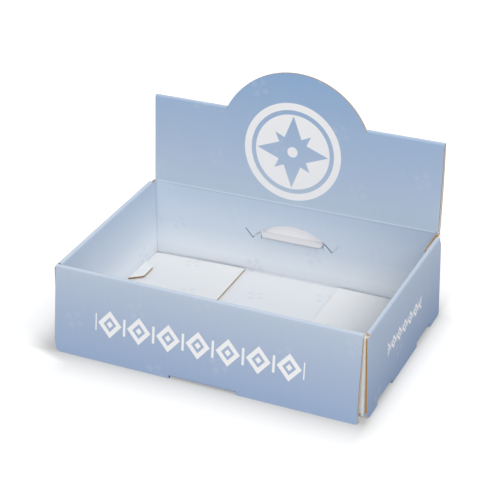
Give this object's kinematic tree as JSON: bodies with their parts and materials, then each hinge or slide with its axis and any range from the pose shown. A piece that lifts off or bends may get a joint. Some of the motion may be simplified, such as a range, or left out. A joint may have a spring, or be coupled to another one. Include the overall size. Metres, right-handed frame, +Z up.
{
  "type": "display shipping box",
  "caption": "Shelf display tray folded from one sheet of printed corrugated board, with double walls and its lid folded back into a header with a round-topped card.",
  "frame": {"origin": "on the ground under the middle of the tray, on the front bottom flap just ahead of its seam with the back one", "axes": "+Z up, +X to the right along the tray's width, -Y towards the front, with the header at the back on +Y"},
  "size_m": [0.3034, 0.2196, 0.2145],
  "materials": {
    "printed_board": "printed, satin"
  },
  "bodies": {
    "root": {"display_box": "printed_board"}
  },
  "joints": []
}
